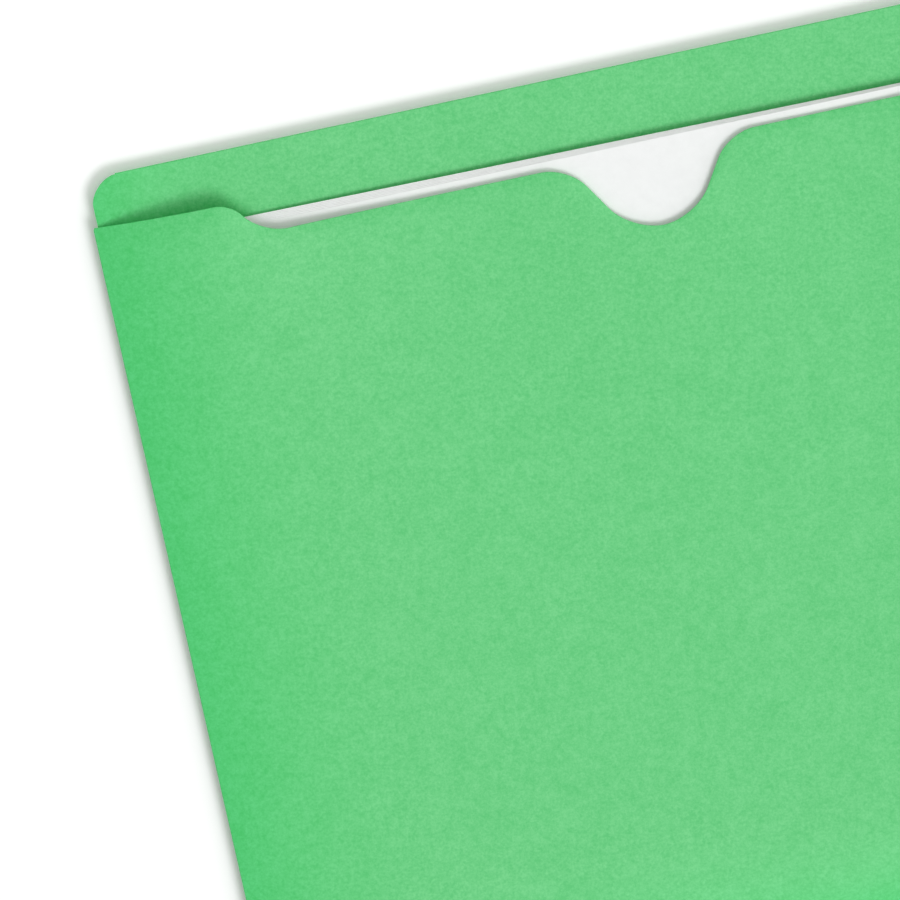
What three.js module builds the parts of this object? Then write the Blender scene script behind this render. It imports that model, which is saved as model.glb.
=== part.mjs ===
// File jacket: a pocket of card with a full-width tab, folded from one blank and glued,
// and the loose sheets of paper that stand in it. Sizes are in millimetres.
// X runs across the jacket, Y up it to the tab, and Z out of its front.
// The origin lies under the middle of the jacket, on the surface that its back rests on.
import * as THREE from 'three';

// Card and glue
const cardThickness = 0.28;
const plyGap = 0.1; // air between back and front where they meet at the creases
const glueGap = 0.12; // room for the glue between two plies
const glueClearance = 0.03; // bare room above and below the glue's film

// Outline of the folded jacket
const jacketWidth = 298.45;
const jacketHeight = 241.3;
const backEdgeClearance = 0.37; // from the back's side edge to the side fold's crease

// Tab
const tabCornerRadius = 8;
const tabPlyHeight = 19.05;
const tabGlueMargin = 2;

// Front's top edge, with drops measured from the top of the tab
const tongueDrop = 13.4;
const tongueLength = 33.1;
const tongueShoulderRadius = 8;
const tongueFootRadius = 13.5;
const undercutDrop = 23.1;
const notchDepth = 20.8;
const notchShoulderRadius = 13;
const notchBottomRadius = 15.9;
const steepestCut = THREE.MathUtils.degToRad(58); // slope of the notch's straight walls

// Glue flaps behind the back's side edges
const flapWidth = 15.9;
const flapSlant = 9; // how far the flap's ends run in over its width
const flapFootMargin = 1.5;
const flapTopMargin = 1.5; // from the flap to the tab's rear ply
const flapGlueMargin = 2.5;

// Sheets of paper, lying on their long side, fanned by a slight turn
const sheetCount = 6;
const sheetThickness = 0.1;
const sheetSpacing = 0.03;
const sheetSideClearance = 9.525;
const sheetFootClearance = 4.7;
const frontSheetDrop = 20.7;
const rearSheetDrop = 19.8;
const rearSheetTurn = THREE.MathUtils.degToRad(-0.5);
const stackClearance = 0.15; // above and below the stack where the pocket narrows

// How far the panels stand apart, and over what distance from the creases
const backBow = 4;
const roomAboveSheets = 4.25;
const bowRun = 110;
const bowSharpness = 7.5;
const footRun = 90;
const mouthRun = 70;

const cornerSteps = 6; // chords in a rounded corner

// Levels and lines that follow from these sizes
const stackThickness = sheetCount * sheetThickness + (sheetCount - 1) * sheetSpacing;
const creaseLevel = backBow; // rear face of the back at the creases and at the tab
const tabFace = creaseLevel + cardThickness;
const frontLevel = tabFace + plyGap; // rear face of the front at the creases
const stackLevel = tabFace + stackClearance;
const frontBow = stackLevel + stackThickness + roomAboveSheets - frontLevel;
const flapLevel = creaseLevel - glueGap - cardThickness;
const sideFoldRadius = (frontLevel + cardThickness - flapLevel) / 2;
const footFoldRadius = (frontLevel + cardThickness - creaseLevel) / 2;
const tabFoldRadius = (tabFace - flapLevel) / 2;
const sideCrease = jacketWidth / 2 - sideFoldRadius;
const backHalfWidth = sideCrease - backEdgeClearance;
const flapEdge = sideCrease - flapWidth;
const tabCornerStart = backHalfWidth - tabCornerRadius;
const glueFilm = glueGap - 2 * glueClearance;
const footCrease = footFoldRadius - jacketHeight / 2;
const tabTop = jacketHeight / 2;
const tabCrease = tabTop - tabFoldRadius;
const tabPlyFoot = tabTop - tabPlyHeight;
const tongueTop = tabTop - tongueDrop;
const undercut = tabTop - undercutDrop;
const sheetWidth = jacketWidth - 2 * sheetSideClearance;
const sheetHeight = jacketHeight - frontSheetDrop - sheetFootClearance;

// Share of the full bow at a distance from a crease: steep at first, level at the end of its run
function rise(distance, run, sharpness) {
  const share = THREE.MathUtils.clamp(distance / run, 0, 1);
  return 1 - (1 - share) ** sharpness;
}

// The foot opens just enough for the corners of the sheets, between the front and the flat back
const cornerRise = rise(sideCrease - sheetWidth / 2, bowRun, bowSharpness);
const footShare = (stackThickness + 2 * stackClearance - plyGap) / (frontBow * cornerRise);
const footSharpness = Math.log(1 - footShare) / Math.log(1 - sheetFootClearance / footRun);

// Rear faces of the bowed plies. The glued flaps and the double tab keep the back flat beside them.
function backFace(x, y) {
  const across = rise(flapEdge - Math.abs(x), flapEdge - sideCrease + bowRun, bowSharpness);
  const along = rise(y - footCrease, footRun, footSharpness);
  const fade = THREE.MathUtils.smoothstep(tabPlyFoot - y, 0, mouthRun);
  return creaseLevel - backBow * across * along * fade;
}

function frontFace(x, y) {
  const across = rise(sideCrease - Math.abs(x), bowRun, bowSharpness);
  return frontLevel + frontBow * across * rise(y - footCrease, footRun, footSharpness);
}

const green = new THREE.Color('#6bd184');
const paleGreen = new THREE.Color('#76d68d');
const glueColour = new THREE.Color('#d8d3bd');
const paperWhite = new THREE.Color('#f3f5f4');

function named(name, geometry, color, roughness = 0.9) {
  const material = new THREE.MeshStandardMaterial({ color, roughness, metalness: 0 });
  const mesh = new THREE.Mesh(geometry, material);
  mesh.name = name;
  return mesh;
}

// Values from one end to the other, closer together at the start when the power is above 1
function spread(start, end, steps, power = 1) {
  const share = (step) => (step / steps) ** power;
  return Array.from({ length: steps + 1 }, (_, step) => start + (end - start) * share(step));
}

// Lines across the jacket on which every bowed ply has its vertices: close at the foot, where
// the pocket opens, and again below the tab, where the back's bow begins
const footLines = spread(footCrease, footCrease + footRun, 10, 1.6);
const mouthLines = spread(tabPlyFoot - mouthRun, tabPlyFoot, 7);
const bowLines = [...footLines, ...mouthLines].sort((a, b) => a - b);

// A thin bowed ply: each station has its x and the y of its low and high edge
function plyGeometry(stations, rearFace, thickness) {
  const lowest = Math.max(...stations.map((station) => station.low));
  const highest = Math.min(...stations.map((station) => station.high));
  const lines = bowLines.filter((y) => y > lowest + cardThickness && y < highest - cardThickness);
  const columns = stations.length - 1;
  const rows = lines.length + 1;
  const geometry = new THREE.BoxGeometry(1, 1, 1, columns, rows, 1);
  const position = geometry.attributes.position;
  for (let i = 0; i < position.count; i += 1) {
    const station = stations[Math.round((position.getX(i) + 0.5) * columns)];
    const row = Math.round((position.getY(i) + 0.5) * rows);
    const y = [station.low, ...lines, station.high][row];
    const front = position.getZ(i) > 0 ? thickness : 0;
    position.setXYZ(i, station.x, y, rearFace(station.x, y) + front);
  }
  geometry.computeVertexNormals();
  return geometry;
}

function mirrored(stations) {
  const other = stations.map((station) => ({ ...station, x: -station.x })).reverse();
  const middle = stations[stations.length - 1].x === 0 ? 1 : 0;
  return [...stations, ...other.slice(middle)];
}

// A cut that leaves a level edge, falls through a shoulder, a straight wall and a foot, and ends level
function fallingCut(drop, shoulderRadius, footRadius, steps) {
  const radii = shoulderRadius + footRadius;
  const turn = Math.min(steepestCut, Math.acos(Math.max(1 - drop / radii, -1)));
  const wall = (drop - radii * (1 - Math.cos(turn))) / Math.sin(turn);
  const run = radii * Math.sin(turn) + wall * Math.cos(turn);
  const shoulder = spread(0, turn, steps).map((angle) => ({
    x: shoulderRadius * Math.sin(angle),
    y: shoulderRadius * (Math.cos(angle) - 1),
  }));
  const foot = spread(turn, 0, steps).map((angle) => ({
    x: run - footRadius * Math.sin(angle),
    y: footRadius * (1 - Math.cos(angle)) - drop,
  }));
  const joined = wall > sheetThickness ? foot : foot.slice(1);
  return { run, points: [...shoulder, ...joined] };
}

// The back's top corners are round, and it ends at the tab's crease
function backPanel() {
  const corner = spread(Math.PI / 2, 0, cornerSteps).map((angle) => ({
    x: -tabCornerStart - tabCornerRadius * Math.sin(angle),
    low: footCrease,
    high: tabCrease - tabCornerRadius * (1 - Math.cos(angle)),
  }));
  const bowed = spread(-flapEdge, bowRun - sideCrease, 10, 1.3);
  const edge = bowed.map((x) => ({ x, low: footCrease, high: tabCrease }));
  const stations = mirrored([...corner, ...edge]);
  return named('back_panel', plyGeometry(stations, backFace, cardThickness), green);
}

// A flat ply or a film of glue, cut to an outline
function flatPly(outline, rearLevel, thickness) {
  const settings = { depth: thickness, bevelEnabled: false, curveSegments: cornerSteps };
  const geometry = new THREE.ExtrudeGeometry(outline, settings);
  geometry.translate(0, 0, rearLevel);
  return geometry;
}

function tabRearPly() {
  const outline = new THREE.Shape();
  const cornerLevel = tabCrease - tabCornerRadius;
  outline.moveTo(-backHalfWidth, tabPlyFoot);
  outline.lineTo(backHalfWidth, tabPlyFoot);
  outline.absarc(tabCornerStart, cornerLevel, tabCornerRadius, 0, Math.PI / 2, false);
  outline.absarc(-tabCornerStart, cornerLevel, tabCornerRadius, Math.PI / 2, Math.PI, false);
  return named('tab_rear_ply', flatPly(outline, flapLevel, cardThickness), green);
}

function tabGlueStrip() {
  const height = tabPlyHeight - tabFoldRadius - 2 * tabGlueMargin;
  const geometry = new THREE.BoxGeometry(2 * tabCornerStart, height, glueFilm);
  const strip = named('tab_glue_strip', geometry, glueColour, 0.5);
  strip.position.set(0, tabPlyFoot + tabGlueMargin + height / 2, creaseLevel - glueGap / 2);
  return strip;
}

function frontPanel() {
  const tongueEnd = tongueLength - jacketWidth / 2;
  const step = fallingCut(undercutDrop - tongueDrop, tongueShoulderRadius, tongueFootRadius, 5);
  const notch = fallingCut(notchDepth, notchShoulderRadius, notchBottomRadius, 6);
  const place = (points, x, y) => points.map((point) => ({ x: x + point.x, y: y + point.y }));
  const tongue = spread(-sideCrease, tongueEnd, 9, 1.4).slice(0, -1);
  const level = spread(tongueEnd + step.run, -notch.run, 4).slice(1, -1);
  const edge = [
    ...tongue.map((x) => ({ x, y: tongueTop })),
    ...place(step.points, tongueEnd, tongueTop),
    ...level.map((x) => ({ x, y: undercut })),
    ...place(notch.points, -notch.run, undercut),
  ];
  edge[edge.length - 1].x = 0;
  const stations = mirrored(edge.map(({ x, y }) => ({ x, low: footCrease, high: y })));
  return named('front_panel', plyGeometry(stations, frontFace, cardThickness), paleGreen);
}

// A crease: half a ring of card, bulging to one side and running along the folded edge
function fold(name, radius, length, direction) {
  const profile = new THREE.Shape();
  const inner = radius - cardThickness;
  profile.absarc(0, 0, radius, Math.PI / 2, Math.PI * 1.5, false);
  profile.absarc(0, 0, inner, Math.PI * 1.5, Math.PI / 2, true);
  const geometry = new THREE.ExtrudeGeometry(profile, { depth: length, bevelEnabled: false, curveSegments: 8 });
  geometry.translate(0, 0, -length / 2);
  geometry.rotateX(Math.PI / 2);
  geometry.rotateZ(direction);
  return named(name, geometry, green);
}

function tabFold() {
  const crease = fold('tab_fold', tabFoldRadius, 2 * tabCornerStart, -Math.PI / 2);
  crease.position.set(0, tabCrease, tabFace - tabFoldRadius);
  return crease;
}

function bottomFold() {
  const crease = fold('bottom_fold', footFoldRadius, 2 * backHalfWidth, Math.PI / 2);
  crease.position.set(0, footCrease, creaseLevel + footFoldRadius);
  return crease;
}

function sideFold(name, side) {
  const crease = fold(name, sideFoldRadius, tongueTop - footCrease, side > 0 ? Math.PI : 0);
  crease.position.set(side * sideCrease, (tongueTop + footCrease) / 2, flapLevel + sideFoldRadius);
  return crease;
}

// The flap's ends slant in from its crease, and a margin keeps the glue off its edges
function flapOutline(side, outerX, margin) {
  const innerX = flapEdge + margin;
  const low = footCrease + flapFootMargin + margin;
  const high = tabPlyFoot - flapTopMargin - margin;
  return new THREE.Shape([
    new THREE.Vector2(side * outerX, low),
    new THREE.Vector2(side * outerX, high),
    new THREE.Vector2(side * innerX, high - flapSlant),
    new THREE.Vector2(side * innerX, low + flapSlant),
  ]);
}

function glueFlap(name, side) {
  const outline = flapOutline(side, sideCrease, 0);
  return named(name, flatPly(outline, flapLevel, cardThickness), green);
}

function glueStrip(name, side) {
  const outline = flapOutline(side, backHalfWidth - flapGlueMargin, flapGlueMargin);
  const rearLevel = creaseLevel - glueGap + glueClearance;
  return named(name, flatPly(outline, rearLevel, glueFilm), glueColour, 0.5);
}

// The stack lies level, just clear of the tab's face. Each sheet behind the front one stands a
// little higher and is turned a little further.
function sheet(number) {
  const share = sheetCount > 1 ? (sheetCount - number) / (sheetCount - 1) : 0;
  const top = tabTop - THREE.MathUtils.lerp(frontSheetDrop, rearSheetDrop, share);
  const geometry = new THREE.BoxGeometry(sheetWidth, sheetHeight, sheetThickness);
  geometry.translate(0, -sheetHeight / 2, sheetThickness / 2);
  const paper = named(`sheet_${number}`, geometry, paperWhite, 0.8);
  paper.position.set(0, top, stackLevel + (number - 1) * (sheetThickness + sheetSpacing));
  paper.rotation.z = share * rearSheetTurn;
  return paper;
}

const jacket = new THREE.Group();
jacket.add(
  backPanel(),
  tabFold(),
  tabRearPly(),
  tabGlueStrip(),
  frontPanel(),
  bottomFold(),
  sideFold('left_side_fold', -1),
  sideFold('right_side_fold', 1),
  glueFlap('left_glue_flap', -1),
  glueFlap('right_glue_flap', 1),
  glueStrip('left_glue_strip', -1),
  glueStrip('right_glue_strip', 1),
);
for (let number = 1; number <= sheetCount; number += 1) {
  jacket.add(sheet(number));
}

export default jacket;
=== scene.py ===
import math

import bmesh
import bpy
from mathutils import Matrix, Vector, noise


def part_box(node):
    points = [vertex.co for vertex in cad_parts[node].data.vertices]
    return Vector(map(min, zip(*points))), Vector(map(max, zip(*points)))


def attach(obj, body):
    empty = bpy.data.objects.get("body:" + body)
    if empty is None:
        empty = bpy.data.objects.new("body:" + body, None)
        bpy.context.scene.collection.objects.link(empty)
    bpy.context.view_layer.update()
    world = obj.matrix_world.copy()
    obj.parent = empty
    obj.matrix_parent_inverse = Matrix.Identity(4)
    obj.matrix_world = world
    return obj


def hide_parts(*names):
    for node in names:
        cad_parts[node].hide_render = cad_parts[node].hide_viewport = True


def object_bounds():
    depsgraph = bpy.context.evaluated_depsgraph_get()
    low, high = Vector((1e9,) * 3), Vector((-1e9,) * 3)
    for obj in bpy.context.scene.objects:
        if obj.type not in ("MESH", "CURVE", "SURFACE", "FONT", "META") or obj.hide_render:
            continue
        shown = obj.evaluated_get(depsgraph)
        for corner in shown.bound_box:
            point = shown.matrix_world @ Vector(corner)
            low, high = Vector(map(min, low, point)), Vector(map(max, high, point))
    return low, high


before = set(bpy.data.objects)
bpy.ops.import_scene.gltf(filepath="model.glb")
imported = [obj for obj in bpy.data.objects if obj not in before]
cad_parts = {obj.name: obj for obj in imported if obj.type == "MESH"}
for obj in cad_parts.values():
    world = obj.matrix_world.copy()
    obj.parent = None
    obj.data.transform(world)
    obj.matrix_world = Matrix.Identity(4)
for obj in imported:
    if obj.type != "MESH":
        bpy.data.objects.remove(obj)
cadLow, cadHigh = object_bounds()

mm = 0.001


# Places that all pieces share, taken from the frame

frontLow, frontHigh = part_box("front_panel")
backLow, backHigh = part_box("back_panel")
plyLow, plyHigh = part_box("tab_rear_ply")
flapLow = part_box("right_glue_flap")[0]

cardThickness = plyHigh.z - plyLow.z
sideCrease = frontHigh.x
footCrease = frontLow.y
tabTop = cadHigh.y
frontLevel = frontLow.z    # rear face of the front panel at its creases
frontBow = frontHigh.z - cardThickness - frontLevel
creaseLevel = backHigh.z - cardThickness    # rear face of the back panel at its creases
backBow = creaseLevel - backLow.z

pocket = {
    "bowRun": 110 * mm,        # from a side crease to where the panels lie level
    "bowSharpness": 7.5,
    "footRun": 90 * mm,        # the same from the foot crease
    "footSharpness": 9.46,
    "mouthRun": 70 * mm,       # over this the back comes up to the stiff double tab
}


def riseShare(distance, run, sharpness):
    share = min(max(distance / run, 0), 1)
    return 1 - (1 - share) ** sharpness


def smoothStep(share):
    share = min(max(share, 0), 1)
    return share ** 2 * (3 - 2 * share)


wave = {"height": 0.06 * mm, "length": 80 * mm}    # how far card lies out of true, and over what


def cardWave(x, y):
    return wave["height"] * noise.noise(Vector((x, y, 0)) / wave["length"])


curl = {"height": 1.3 * mm, "width": 66 * mm, "depth": 50 * mm}    # how the free tongues spring up


def tongueCurl(x, y):
    across = min(max((sideCrease - abs(x)) / curl["width"], 0), 1)
    along = min(max(1 + (y - frontHigh.y) / curl["depth"], 0), 1)
    return curl["height"] * math.sin(math.pi * across) ** 2 * along ** 2


sag = {
    "depth": 1.25 * mm,
    "from": 124 * mm,        # it sets in this far from the middle
    "to": 52 * mm,           # and is deepest here
    "middleShare": 0.48,     # share of the depth that is left behind the thumb notch
    "reach": 120 * mm,       # how far it runs down from the tongues' tops
}


def mouthSag(x, y):
    # between its tongues the front panel hangs a little lower towards the sheets
    across = smoothStep((sag["from"] - abs(x)) / (sag["from"] - sag["to"]))
    along = smoothStep(1 + (y - frontHigh.y) / sag["reach"])
    middle = smoothStep(1 - abs(x) / sag["to"])
    return sag["depth"] * across * along * (1 - (1 - sag["middleShare"]) * middle)


def frontFace(x, y):
    across = riseShare(sideCrease - abs(x), pocket["bowRun"], pocket["bowSharpness"])
    along = riseShare(y - footCrease, pocket["footRun"], pocket["footSharpness"])
    level = frontLevel + frontBow * across * along + cardWave(x, y) * across * along ** 2
    return level + tongueCurl(x, y) - mouthSag(x, y)


def backFace(x, y):
    run = pocket["bowRun"] - (sideCrease - flapLow.x)
    across = riseShare(flapLow.x - abs(x), run, pocket["bowSharpness"])
    along = riseShare(y - footCrease, pocket["footRun"], pocket["footSharpness"])
    fade = smoothStep((plyLow.y - y) / pocket["mouthRun"])
    return creaseLevel - backBow * across * along * fade


# Small tools for modelling by hand

closeness = {
    "onEdge": 0.01 * mm,    # a point this near to an edge or a corner lies on it
    "weld": 0.005 * mm,     # points this near to each other are made one
    "cut": 0.001 * mm,      # a score line uses a point this near instead of making a new one
}


def beginEdit(piece):
    bpy.ops.object.select_all(action="DESELECT")
    bpy.context.view_layer.objects.active = piece
    piece.select_set(True)
    bpy.ops.object.mode_set(mode="EDIT")
    bpy.ops.mesh.select_mode(type="VERT")
    bpy.ops.mesh.select_all(action="DESELECT")


def endEdit():
    bpy.ops.object.mode_set(mode="OBJECT")
    bpy.ops.object.select_all(action="DESELECT")


def selectVertices(piece, wanted):
    bpy.ops.mesh.select_all(action="DESELECT")
    shape = bmesh.from_edit_mesh(piece.data)
    for vertex in shape.verts:
        vertex.select_set(wanted(vertex.co))
    shape.select_flush(True)
    bmesh.update_edit_mesh(piece.data)


def traceOutline(name, corners):
    # one point is drawn out from corner to corner, and the loop is filled with a face
    bpy.ops.object.select_all(action="DESELECT")
    bpy.ops.mesh.primitive_plane_add(size=mm)
    piece = bpy.context.object
    piece.name = name
    beginEdit(piece)
    bpy.ops.mesh.select_all(action="SELECT")
    bpy.ops.mesh.merge(type="CENTER")
    bpy.ops.transform.translate(value=(corners[0][0], corners[0][1], 0))
    for here, there in zip(corners, corners[1:]):
        step = (there[0] - here[0], there[1] - here[1], 0)
        bpy.ops.mesh.extrude_vertices_move(TRANSFORM_OT_translate={"value": step})
    bpy.ops.mesh.select_all(action="SELECT")
    bpy.ops.mesh.edge_face_add()
    shape = bmesh.from_edit_mesh(piece.data)
    shape.faces.ensure_lookup_table()
    shape.faces[0].normal_update()
    if shape.faces[0].normal.z < 0:
        bpy.ops.mesh.flip_normals()
    return piece


def roundCorners(piece, corners, tangent, segments, fullness=0.5):
    def isCorner(place):
        return any((place.xy - Vector(corner)).length < closeness["onEdge"] for corner in corners)

    selectVertices(piece, isCorner)
    bpy.ops.mesh.bevel(affect="VERTICES", offset=tangent, segments=segments, profile=fullness,
                       clamp_overlap=False)


def scoreLines(places, axis):
    # straight cuts right through, so that the flat card can take its bow
    direction = Vector((1, 0, 0)) if axis == "x" else Vector((0, 1, 0))
    for place in places:
        bpy.ops.mesh.select_all(action="SELECT")
        bpy.ops.mesh.bisect(plane_co=direction * place, plane_no=direction,
                            threshold=closeness["cut"])


scoring = {
    "first": 0.7 * mm,     # from a crease to the first score line
    "growth": 1.3,         # each step is wider than the last by this factor
    "widest": 6 * mm,
}


def fromEdge(low, high, first=scoring["first"]):
    # places that lie close together at the low edge, where the bow is sharpest, and then widen
    places, step, place = [], first, low + first
    while place < high - step / 2:
        places.append(place)
        step = min(step * scoring["growth"], scoring["widest"])
        place += step
    return places


def shapeVertices(piece, height):
    for vertex in piece.data.vertices:
        vertex.co.z += height(vertex.co.x, vertex.co.y)
    piece.data.update()


def applyModifier(piece, kind, **settings):
    modifier = piece.modifiers.new(kind.lower(), kind)
    for key, value in settings.items():
        setattr(modifier, key, value)
    bpy.context.view_layer.objects.active = piece
    bpy.ops.object.modifier_apply(modifier=modifier.name)


dieCut = {
    "softness": 0.05 * mm,
    "segments": 2,
    "sharpest": math.radians(60),    # an edge that turns by more than this is a cut one
}


def softenCutEdges(piece, onCrease):
    # the die leaves the card's edge a little soft; edges that run on into a crease stay whole
    beginEdit(piece)
    bpy.ops.mesh.select_mode(type="EDGE")
    shape = bmesh.from_edit_mesh(piece.data)
    for edge in shape.edges:
        middle = (edge.verts[0].co + edge.verts[1].co) / 2
        sharp = len(edge.link_faces) == 2 and edge.calc_face_angle() > dieCut["sharpest"]
        edge.select_set(sharp and not onCrease(middle))
    bmesh.update_edit_mesh(piece.data)
    bpy.ops.mesh.bevel(offset=dieCut["softness"], segments=dieCut["segments"], affect="EDGES")
    endEdit()


def thickenCard(piece, onCrease):
    applyModifier(piece, "SOLIDIFY", thickness=cardThickness, offset=1, use_even_offset=True)
    softenCutEdges(piece, onCrease)
    smoothPiece(piece)


smoothBelow = math.radians(35)    # edges that turn by less than this are shaded smooth


def smoothPiece(piece):
    bpy.ops.object.select_all(action="DESELECT")
    bpy.context.view_layer.objects.active = piece
    piece.select_set(True)
    bpy.ops.object.shade_smooth_by_angle(angle=smoothBelow)
    piece.select_set(False)


def handOver(piece, node, material, body="jacket"):
    piece.data.materials.clear()
    piece.data.materials.append(material)
    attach(piece, body)
    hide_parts(node)


# Materials

def linearColour(hexCode):
    parts = [int(hexCode[i:i + 2], 16) / 255 for i in (1, 3, 5)]
    return tuple(p / 12.92 if p <= 0.04045 else ((p + 0.055) / 1.055) ** 2.4 for p in parts) + (1,)


def addNode(tree, kind, settings=None, links=None):
    node = tree.nodes.new(kind)
    for key, value in (settings or {}).items():
        if isinstance(key, int) or key in node.inputs:
            node.inputs[key].default_value = value
        else:
            setattr(node, key, value)
    for key, source in (links or {}).items():
        tree.links.new(source, node.inputs[key])
    return node


def startMaterial(name):
    material = bpy.data.materials.new(name)
    material.use_nodes = True
    material.node_tree.nodes.clear()
    return material, material.node_tree


def colourBand(tree, factor, band, codes):
    # goes from the first colour to the second while the factor crosses the band
    ramp = addNode(tree, "ShaderNodeValToRGB", links={"Fac": factor})
    for element, position, code in zip(ramp.color_ramp.elements, band, codes):
        element.position = position
        element.color = linearColour(code)
    return ramp


card = {
    "dark": "#33BA5D",
    "light": "#5AC976",
    # painted shade: deeper, greener colours for the creases, standing in for the sheen that fades
    # where the card curves away from the light
    "paintedShadeDark": "#24C45A",
    "paintedShadeLight": "#47D276",
    "band": (0.35, 0.65),       # the middle of the noise, where dark turns to light
    "paintedShadeReach": 60 * mm,     # the painted shade is deepest at a side crease and fades over this
    "paintedShadeFootReach": 35 * mm,       # and over this from the foot crease
    "paintedShadeFalloff": 2.0,       # how fast the painted shade fades
    "cloud": 11 * mm,           # clouds of pulp, down to a quarter of this
    "mottle": 1.5 * mm,         # clumps of fibre, down to a quarter of this
    "mottleShare": 2.8,         # how strong the clumps are beside the clouds
    "fibreLength": 0.9 * mm,
    "fibreRelief": 0.006 * mm,
    "roughness": 0.5,
    "specular": 1.0,            # the rolled face's sheen
    "ior": 1.5,
}


def makeCardStock():
    # Card stock, vat-dyed pulp rolled to 11 points: the colour is in the fibre, so cut edges
    # match, the pulp's uneven clouds give a fine mottle, the rolls leave a wide faint sheen that
    # pales the lit card, and light and shade are painted into the colour towards the creases: a
    # deeper, greener tone stands in for the sheen fading and the shade where the card curves away
    # from the light
    material, tree = startMaterial("vatDyedCardStock")
    coords = addNode(tree, "ShaderNodeTexCoord")
    clouds = addNode(tree, "ShaderNodeTexNoise", {
        "Scale": 1 / card["cloud"], "Detail": 2, "Roughness": 1.0,
    }, {"Vector": coords.outputs["Object"]})
    clumps = addNode(tree, "ShaderNodeTexNoise", {
        "Scale": 1 / card["mottle"], "Detail": 2, "Roughness": 1.0,
    }, {"Vector": coords.outputs["Object"]})
    total = 1 + card["mottleShare"]
    cloudPart = addNode(tree, "ShaderNodeMath", {"operation": "DIVIDE", 1: total},
                        {0: clouds.outputs["Fac"]})
    mottle = addNode(tree, "ShaderNodeMath", {
        "operation": "MULTIPLY_ADD", 1: card["mottleShare"] / total,
    }, {0: clumps.outputs["Fac"], 2: cloudPart.outputs[0]})
    face = colourBand(tree, mottle.outputs[0], card["band"], (card["dark"], card["light"]))
    # painted shade: the same mottle in the deeper crease colours
    paintedShadeColour = colourBand(tree, mottle.outputs[0], card["band"],
                          (card["paintedShadeDark"], card["paintedShadeLight"]))
    # mask of the painted shade: 1 at a side or foot crease, falling to 0 over its reach
    place = addNode(tree, "ShaderNodeSeparateXYZ", links={"Vector": coords.outputs["Object"]})
    across = addNode(tree, "ShaderNodeMath", {"operation": "ABSOLUTE"}, {0: place.outputs["X"]})
    nearSide = addNode(tree, "ShaderNodeMapRange", {
        "From Min": sideCrease - card["paintedShadeReach"], "From Max": sideCrease,
    }, {"Value": across.outputs[0]})
    nearFoot = addNode(tree, "ShaderNodeMapRange", {
        "From Min": footCrease + card["paintedShadeFootReach"], "From Max": footCrease,
    }, {"Value": place.outputs["Y"]})
    paintedShadeMask = addNode(tree, "ShaderNodeMath", {"operation": "MAXIMUM"},
                      {0: nearSide.outputs["Result"], 1: nearFoot.outputs["Result"]})
    depth = addNode(tree, "ShaderNodeMath", {"operation": "POWER", 1: card["paintedShadeFalloff"]},
                    {0: paintedShadeMask.outputs[0]})
    # mixes the painted crease shade into the card's colour
    colour = addNode(tree, "ShaderNodeMix", {"data_type": "RGBA"}, {
        "Factor": depth.outputs[0], 6: face.outputs["Color"], 7: paintedShadeColour.outputs["Color"],
    })
    fibres = addNode(tree, "ShaderNodeTexNoise", {
        "Scale": 1 / card["fibreLength"], "Detail": 2, "Roughness": 0.7, "Distortion": 1.5,
    }, {"Vector": coords.outputs["Object"]})
    relief = addNode(tree, "ShaderNodeBump", {"Distance": card["fibreRelief"], "Strength": 1.0},
                     {"Height": fibres.outputs["Fac"]})
    shader = addNode(tree, "ShaderNodeBsdfPrincipled", {
        "Roughness": card["roughness"], "Specular IOR Level": card["specular"], "IOR": card["ior"],
    }, {"Base Color": colour.outputs[2], "Normal": relief.outputs["Normal"]})
    addNode(tree, "ShaderNodeOutputMaterial", links={"Surface": shader.outputs["BSDF"]})
    return material


paper = {
    "dark": "#F1F3F2",
    "light": "#F5F7F6",
    "band": (0.3, 0.7),
    "cloud": 4 * mm,        # how far apart the fibres' thick and thin places lie
    "relief": 0.003 * mm,
    "roughness": 0.8,
    "specular": 0.25,
    "ior": 1.45,
}


def makeCopierPaper():
    # Copier paper, uncoated and machine-finished: a bright, faintly cool white, matt all over
    material, tree = startMaterial("uncoatedCopierPaper")
    coords = addNode(tree, "ShaderNodeTexCoord")
    clouds = addNode(tree, "ShaderNodeTexNoise", {
        "Scale": 1 / paper["cloud"], "Detail": 3, "Roughness": 0.8,
    }, {"Vector": coords.outputs["Object"]})
    colour = colourBand(tree, clouds.outputs["Fac"], paper["band"],
                        (paper["dark"], paper["light"]))
    relief = addNode(tree, "ShaderNodeBump", {"Distance": paper["relief"], "Strength": 1.0},
                     {"Height": clouds.outputs["Fac"]})
    shader = addNode(tree, "ShaderNodeBsdfPrincipled", {
        "Roughness": paper["roughness"], "Specular IOR Level": paper["specular"],
        "IOR": paper["ior"],
    }, {"Base Color": colour.outputs["Color"], "Normal": relief.outputs["Normal"]})
    addNode(tree, "ShaderNodeOutputMaterial", links={"Surface": shader.outputs["BSDF"]})
    return material


glue = {
    "dark": "#C9C2A4",
    "light": "#E2DCC4",
    "band": (0.3, 0.7),
    "streak": 3 * mm,       # width of a brush stroke's streaks
    "roughness": 0.45,
    "ior": 1.5,
}


def makeDriedGlue():
    # Paper paste, brushed on and dried between the plies: pale, streaky and slightly glossy
    material, tree = startMaterial("driedPaperPaste")
    coords = addNode(tree, "ShaderNodeTexCoord")
    streaks = addNode(tree, "ShaderNodeTexNoise", {
        "Scale": 1 / glue["streak"], "Detail": 3, "Roughness": 0.6, "Distortion": 2.0,
    }, {"Vector": coords.outputs["Object"]})
    colour = colourBand(tree, streaks.outputs["Fac"], glue["band"], (glue["dark"], glue["light"]))
    shader = addNode(tree, "ShaderNodeBsdfPrincipled", {
        "Roughness": glue["roughness"], "IOR": glue["ior"],
    }, {"Base Color": colour.outputs["Color"]})
    addNode(tree, "ShaderNodeOutputMaterial", links={"Surface": shader.outputs["BSDF"]})
    return material


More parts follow.
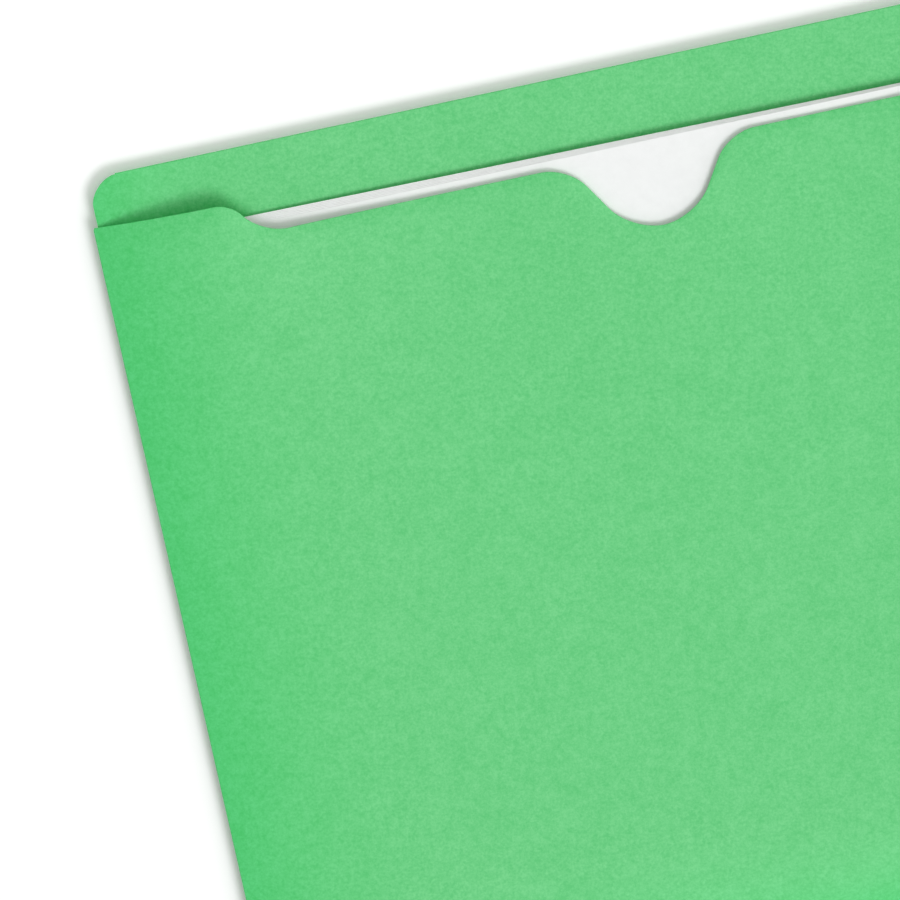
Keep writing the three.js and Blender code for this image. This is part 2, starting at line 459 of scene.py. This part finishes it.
# Camera: the photo looks down from a little beyond the tab, turned so that the tab climbs
# to the right

cameraPlan = {
    "lens": 1500,                 # long, because the photo's parallel edges do not close in
    "sensor": 36,
    "viewWidth": 240.35 * mm,     # what the frame takes in at the target
    "target": (-69.28 * mm, 27.5 * mm, 4.2 * mm),
    "lean": math.radians(13),     # away from straight above
    "turn": math.radians(12.42),
}


def makeCamera():
    turn, lean = cameraPlan["turn"], cameraPlan["lean"]
    right = Vector((math.cos(turn), -math.sin(turn), 0))
    upScreen = Vector((math.sin(turn), math.cos(turn), 0))
    back = Vector((0, 0, 1)) * math.cos(lean) + upScreen * math.sin(lean)
    up = back.cross(right)
    distance = cameraPlan["viewWidth"] * cameraPlan["lens"] / cameraPlan["sensor"]
    bpy.ops.object.camera_add()
    camera = bpy.context.object
    camera.name = "photoCamera"
    camera.data.lens = cameraPlan["lens"]
    camera.data.sensor_width = cameraPlan["sensor"]
    camera.data.clip_end = 2 * distance
    place = Matrix((right, up, back)).transposed().to_4x4()
    place.translation = Vector(cameraPlan["target"]) + back * distance
    camera.matrix_world = place
    bpy.context.scene.camera = camera


# Light: one soft lamp from the lower right, and a pale room that is brighter on one side

light = {
    "towardsLamp": Vector((0.44, -0.55, 1.0)),
    "lampAngle": math.radians(26),    # how wide the lamp looks from the jacket
    "roomShare": 0.68,                # share of a level white surface's light that the room gives
    "roomTint": (1.0, 0.99, 0.98),    # the lamp gives the rest, so a white surface stays white
    "brightSide": Vector((0.93, 0.37, 0)),    # to the right, and a little towards the tab
    "sideContrast": 0.8,              # how much more of the room's light comes from that side
}


def makeLamp():
    bpy.ops.object.light_add(type="SUN")
    lamp = bpy.context.object
    lamp.name = "softLamp"
    direction = light["towardsLamp"].normalized()
    lamp.rotation_mode = "QUATERNION"
    lamp.rotation_quaternion = direction.to_track_quat("Z", "Y")
    lamp.data.angle = light["lampAngle"]
    lampShares = [1 - light["roomShare"] * tint for tint in light["roomTint"]]
    lamp.data.color = [share / max(lampShares) for share in lampShares]
    lamp.data.energy = math.pi * max(lampShares) / direction.z


def seenRays(tree):
    # 1 for what is looked at, also in a reflection or through glass, and 0 for what lights
    # the jacket
    path = addNode(tree, "ShaderNodeLightPath")
    seen = addNode(tree, "ShaderNodeMath", {"operation": "MAXIMUM"},
                   {0: path.outputs["Is Camera Ray"], 1: path.outputs["Is Glossy Ray"]})
    return addNode(tree, "ShaderNodeMath", {"operation": "MAXIMUM"},
                   {0: seen.outputs[0], 1: path.outputs["Is Transmission Ray"]})


def makeRoom():
    world = bpy.data.worlds.new("paleRoom")
    bpy.context.scene.world = world
    world.use_nodes = True
    tree = world.node_tree
    tree.nodes.clear()
    seen = seenRays(tree)
    towards = addNode(tree, "ShaderNodeTexCoord")
    side = addNode(tree, "ShaderNodeVectorMath", {
        "operation": "DOT_PRODUCT", 1: light["brightSide"],
    }, {0: towards.outputs["Generated"]})
    share = light["roomShare"]
    strength = addNode(tree, "ShaderNodeMath", {
        "operation": "MULTIPLY_ADD", 1: share * light["sideContrast"], 2: share,
    }, {0: side.outputs["Value"]})
    walls = addNode(tree, "ShaderNodeBackground", {"Color": (*light["roomTint"], 1)},
                    {"Strength": strength.outputs[0]})
    backdrop = addNode(tree, "ShaderNodeBackground", {"Color": (1, 1, 1, 1)})
    room = addNode(tree, "ShaderNodeMixShader", links={
        0: seen.outputs[0], 1: walls.outputs["Background"], 2: backdrop.outputs["Background"],
    })
    addNode(tree, "ShaderNodeOutputWorld", links={"Surface": room.outputs["Shader"]})


ground = {
    "size": 6,       # in metres, so that no view reaches its edge
    "glow": 0.1,     # added where it is looked at, so that it is pure white round the shadows
}


def makeFloor():
    # White matt acrylic sheet: an even ground that shows nothing but the jacket's own soft shadow
    bpy.ops.mesh.primitive_plane_add(size=ground["size"])
    floor = bpy.context.object
    floor.name = "paleFloor"
    material, tree = startMaterial("mattWhiteAcrylic")
    glow = addNode(tree, "ShaderNodeMath", {"operation": "MULTIPLY", 1: ground["glow"]},
                   {0: seenRays(tree).outputs[0]})
    shader = addNode(tree, "ShaderNodeBsdfPrincipled", {
        "Base Color": (1, 1, 1, 1), "Roughness": 1.0, "Specular IOR Level": 0.0,
        "Emission Color": (1, 1, 1, 1),
    }, {"Emission Strength": glow.outputs[0]})
    addNode(tree, "ShaderNodeOutputMaterial", links={"Surface": shader.outputs["BSDF"]})
    floor.data.materials.append(material)


makeCamera()
makeLamp()
makeRoom()
makeFloor()
cardStock = makeCardStock()
copierPaper = makeCopierPaper()
driedGlue = makeDriedGlue()
print("camera, light and materials made")


# Front panel

front = {
    "tongueDrop": 13.4 * mm,       # all drops from the top of the tab
    "tongueLength": 33.1 * mm,
    "tongueShoulder": 8 * mm,      # radii of the rounded corners
    "tongueFoot": 13.5 * mm,
    "undercutDrop": 23.3 * mm,
    "notchDepth": 20.8 * mm,
    "notchShoulder": 13 * mm,
    "notchBottom": 15.9 * mm,
    "steepest": math.radians(58),    # slope of the cuts' straight walls
    "cornerSegments": 14,
}


def cutRun(drop, radii):
    # how steep a falling cut gets, and how far it runs
    turn = min(front["steepest"], math.acos(max(1 - drop / radii, -1)))
    wall = (drop - radii * (1 - math.cos(turn))) / math.sin(turn)
    return turn, radii * math.sin(turn) + wall * math.cos(turn)


def makeFrontPanel():
    tongueTop = tabTop - front["tongueDrop"]
    undercut = tabTop - front["undercutDrop"]
    notchFloor = undercut - front["notchDepth"]
    tongueEnd = front["tongueLength"] - cadHigh.x
    stepDrop = front["undercutDrop"] - front["tongueDrop"]
    stepTurn, stepRun = cutRun(stepDrop, front["tongueShoulder"] + front["tongueFoot"])
    notchRadii = front["notchShoulder"] + front["notchBottom"]
    notchTurn, notchRun = cutRun(front["notchDepth"], notchRadii)

    def tangent(radius, turn):
        return front[radius] * math.tan(turn / 2)

    shoulder = (tongueEnd + tangent("tongueShoulder", stepTurn), tongueTop)
    foot = (tongueEnd + stepRun - tangent("tongueFoot", stepTurn), undercut)
    notchStart = (tangent("notchShoulder", notchTurn) - notchRun, undercut)
    notchEnd = (-tangent("notchBottom", notchTurn), notchFloor)
    leftCorners = [(-sideCrease, tongueTop), shoulder, foot, notchStart, notchEnd]
    rightCorners = [(-x, y) for x, y in reversed(leftCorners)]
    lowCorners = [(sideCrease, footCrease), (-sideCrease, footCrease)]
    panel = traceOutline("frontPanelCard", leftCorners + rightCorners + lowCorners)

    rounds = [
        (shoulder, "tongueShoulder", stepTurn),
        (foot, "tongueFoot", stepTurn),
        (notchStart, "notchShoulder", notchTurn),
        (notchEnd, "notchBottom", notchTurn),
    ]
    for (x, y), radius, turn in rounds:
        roundCorners(panel, [(x, y), (-x, y)], tangent(radius, turn), front["cornerSegments"])
    bpy.ops.mesh.select_all(action="SELECT")
    bpy.ops.mesh.remove_doubles(threshold=closeness["weld"])

    leftHalf = fromEdge(-sideCrease, 0)
    scoreLines(leftHalf + [0] + [-x for x in leftHalf], "x")
    scoreLines(fromEdge(footCrease, tongueTop), "y")
    endEdit()
    shapeVertices(panel, frontFace)

    def onCrease(place):
        atSide = abs(place.x) > sideCrease - closeness["onEdge"]
        return atSide or place.y < footCrease + closeness["onEdge"]

    thickenCard(panel, onCrease)
    handOver(panel, "front_panel", cardStock)


# Back panel, with the tab's front ply in one piece with it

back = {
    "cornerCut": 7.2 * mm,
    "cornerFullness": 0.43,    # a little flatter than a true quarter round
    "cornerSegments": 14,
    "tabInset": 0.45 * mm,     # the tab's ends stand in by this from the panel's sides
    "insetDrop": 1.2 * mm,     # and the step to it is hidden behind the front panel's tongue
    "firstScore": 0.9 * mm,    # from a flap's inner edge to the first score line
}


def makeBackPanel():
    tabHalf = backHigh.x - back["tabInset"]
    topCorners = [(tabHalf, backHigh.y), (-tabHalf, backHigh.y)]
    stepTop = frontHigh.y - back["insetDrop"]
    stepFoot = stepTop - back["insetDrop"]
    rightSide = [(backHigh.x, backLow.y), (backHigh.x, stepFoot), (tabHalf, stepTop)]
    leftSide = [(-x, y) for x, y in reversed(rightSide)]
    panel = traceOutline("backPanelCard", rightSide + topCorners + leftSide)
    roundCorners(panel, topCorners, back["cornerCut"], back["cornerSegments"],
                 back["cornerFullness"])
    leftHalf = fromEdge(-flapLow.x, 0, back["firstScore"])
    scoreLines([-flapLow.x, flapLow.x, 0] + leftHalf + [-x for x in leftHalf], "x")
    scoreLines(fromEdge(footCrease, plyLow.y) + [plyLow.y], "y")
    endEdit()
    shapeVertices(panel, backFace)
    straight = tabHalf - back["cornerCut"]

    def onCrease(place):
        atTop = place.y > backHigh.y - closeness["onEdge"]
        atTab = atTop and abs(place.x) < straight + closeness["onEdge"]
        return atTab or place.y < footCrease + closeness["onEdge"]

    thickenCard(panel, onCrease)
    handOver(panel, "back_panel", cardStock)


def makeTabRearPly():
    left, right = plyLow.x + back["tabInset"], plyHigh.x - back["tabInset"]
    topCorners = [(right, plyHigh.y), (left, plyHigh.y)]
    ply = traceOutline("tabRearCard", [(left, plyLow.y), (right, plyLow.y)] + topCorners)
    roundCorners(ply, topCorners, back["cornerCut"], back["cornerSegments"],
                 back["cornerFullness"])
    endEdit()
    shapeVertices(ply, lambda x, y: plyLow.z)
    thickenCard(ply, lambda place: place.y > plyHigh.y - closeness["onEdge"])
    handOver(ply, "tab_rear_ply", cardStock)


flap = {
    "slant": 9 * mm,    # how much shorter a flap is along its inner edge, at each end
    "cornerCut": 1.5 * mm,
    "cornerSegments": 6,
}


def makeGlueFlap(side, node):
    low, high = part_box(node)
    outer, inner = (high.x, low.x) if side > 0 else (low.x, high.x)
    innerCorners = [(inner, high.y - flap["slant"]), (inner, low.y + flap["slant"])]
    outline = [(outer, low.y), (outer, high.y)] + innerCorners
    piece = traceOutline(node.split("_")[0] + "FlapCard", outline)
    roundCorners(piece, innerCorners, flap["cornerCut"], flap["cornerSegments"])
    endEdit()
    shapeVertices(piece, lambda x, y: low.z)
    thickenCard(piece, lambda place: abs(place.x) > abs(outer) - closeness["onEdge"])
    handOver(piece, node, cardStock)


# Creases: the card's own section turned half round the fold

crease = {
    "steps": 16,
    "mitre": 0.6 * mm,    # a side crease slopes down by this at its top end
}


def makeFold(name, node, axis, start):
    # start is the place across the fold where the card leaves its front side
    low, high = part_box(node)
    middle = (low + high) / 2
    radius = (high.z - low.z) / 2
    if axis == "y":
        turned, direction = (0, math.pi / 2, 0), Vector((0, 1, 0))
        size = (1, high.y - low.y, cardThickness)
        centre = Vector((start, middle.y, middle.z))
        sense = -1 if middle.x > start else 1
    else:
        turned, direction = (math.pi / 2, 0, 0), Vector((1, 0, 0))
        size = (high.x - low.x, 1, cardThickness)
        centre = Vector((middle.x, start, middle.z))
        sense = 1 if middle.y > start else -1
    bpy.ops.object.select_all(action="DESELECT")
    bpy.ops.mesh.primitive_plane_add(size=1, rotation=turned)
    piece = bpy.context.object
    piece.name = name
    bpy.ops.object.transform_apply(location=False, rotation=True, scale=False)
    beginEdit(piece)
    bpy.ops.mesh.select_all(action="SELECT")
    bpy.ops.transform.resize(value=size)
    bpy.ops.transform.translate(value=centre + Vector((0, 0, radius - cardThickness / 2)))
    bpy.ops.mesh.spin(steps=crease["steps"], angle=math.pi, center=centre, axis=direction * sense)
    bpy.ops.mesh.select_all(action="SELECT")
    bpy.ops.mesh.remove_doubles(threshold=closeness["weld"])
    bpy.ops.mesh.normals_make_consistent(inside=False)
    endEdit()
    if axis == "y":
        for vertex in piece.data.vertices:
            if vertex.co.y > middle.y:
                vertex.co.y -= crease["mitre"] * abs(vertex.co.x - start) / (high.x - low.x)
    smoothPiece(piece)
    handOver(piece, node, cardStock)


# Loose sheets: they lie flat in the foot and lift towards the mouth, their top edges fanned

stack = {
    "count": 6,
    "lift": 0.95 * mm,         # rear sheet's lift over its whole width
    "lean": 1.8 * mm,          # and what it gains towards its right
    "spread": 0.45 * mm,       # how much further the front sheet is lifted
    "slip": 0.25 * mm,         # how far the front sheet's top edge has slipped down
    "crest": 0.8,              # share of the height at which the lift is greatest
    "evenness": 6,             # the higher, the nearer to its sides a sheet is fully lifted
    "stepAcross": 5 * mm,
    "stepUp": 8 * mm,
    "flat": math.radians(1),   # the solid's faces that turn by less than this are made one
}


def shareOf(number):
    # 0 for the rear sheet and 1 for the front one
    return (number - 1) / (stack["count"] - 1)


def sheetLift(number, across, upwards):
    # across and upwards run from 0 to 1 over the sheet
    width = 1 - (1 - 2 * across) ** stack["evenness"]
    even = (stack["lift"] + stack["spread"] * shareOf(number)) * width
    lean = stack["lean"] * across * math.sin(math.pi * across)
    return (even + lean) * math.sin(math.pi / 2 * upwards / stack["crest"])


def makeSheet(number):
    name = f"sheet_{number}"
    low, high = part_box(name)
    bpy.ops.object.select_all(action="DESELECT")
    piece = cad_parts[name].copy()
    piece.data = piece.data.copy()
    piece.name = f"paperSheet_{number}"
    bpy.context.scene.collection.objects.link(piece)
    beginEdit(piece)
    bpy.ops.mesh.select_all(action="SELECT")
    bpy.ops.mesh.remove_doubles(threshold=closeness["weld"])
    bpy.ops.mesh.dissolve_limited(angle_limit=stack["flat"])
    size = high - low
    columns = round(size.x / stack["stepAcross"])
    rows = round(size.y / stack["stepUp"])
    scoreLines([low.x + size.x * i / columns for i in range(1, columns)], "x")
    scoreLines([low.y + size.y * i / rows for i in range(1, rows)], "y")
    endEdit()
    shapeVertices(piece, lambda x, y: sheetLift(number, (x - low.x) / size.x,
                                                (y - low.y) / size.y))
    for vertex in piece.data.vertices:
        vertex.co.y -= stack["slip"] * shareOf(number) * (vertex.co.y - low.y) / size.y
    smoothPiece(piece)
    handOver(piece, name, copierPaper, name)


# Glue: out of sight between the plies, so the solids themselves take the paste

def dressGlueStrips():
    for name in ("tab_glue_strip", "left_glue_strip", "right_glue_strip"):
        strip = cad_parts[name]
        strip.data.materials.clear()
        strip.data.materials.append(driedGlue)


makeFrontPanel()
print("front panel made")
makeBackPanel()
makeTabRearPly()
makeGlueFlap(-1, "left_glue_flap")
makeGlueFlap(1, "right_glue_flap")
print("back panel, tab and flaps made")
makeFold("leftCreaseCard", "left_side_fold", "y", -sideCrease)
makeFold("rightCreaseCard", "right_side_fold", "y", sideCrease)
makeFold("footCreaseCard", "bottom_fold", "x", footCrease)
makeFold("tabCreaseCard", "tab_fold", "x", backHigh.y)
print("creases made")
for number in range(1, stack["count"] + 1):
    makeSheet(number)
print("sheets made")
dressGlueStrips()
print("glue strips dressed")

bpy.context.scene.view_settings.view_transform = "Standard"
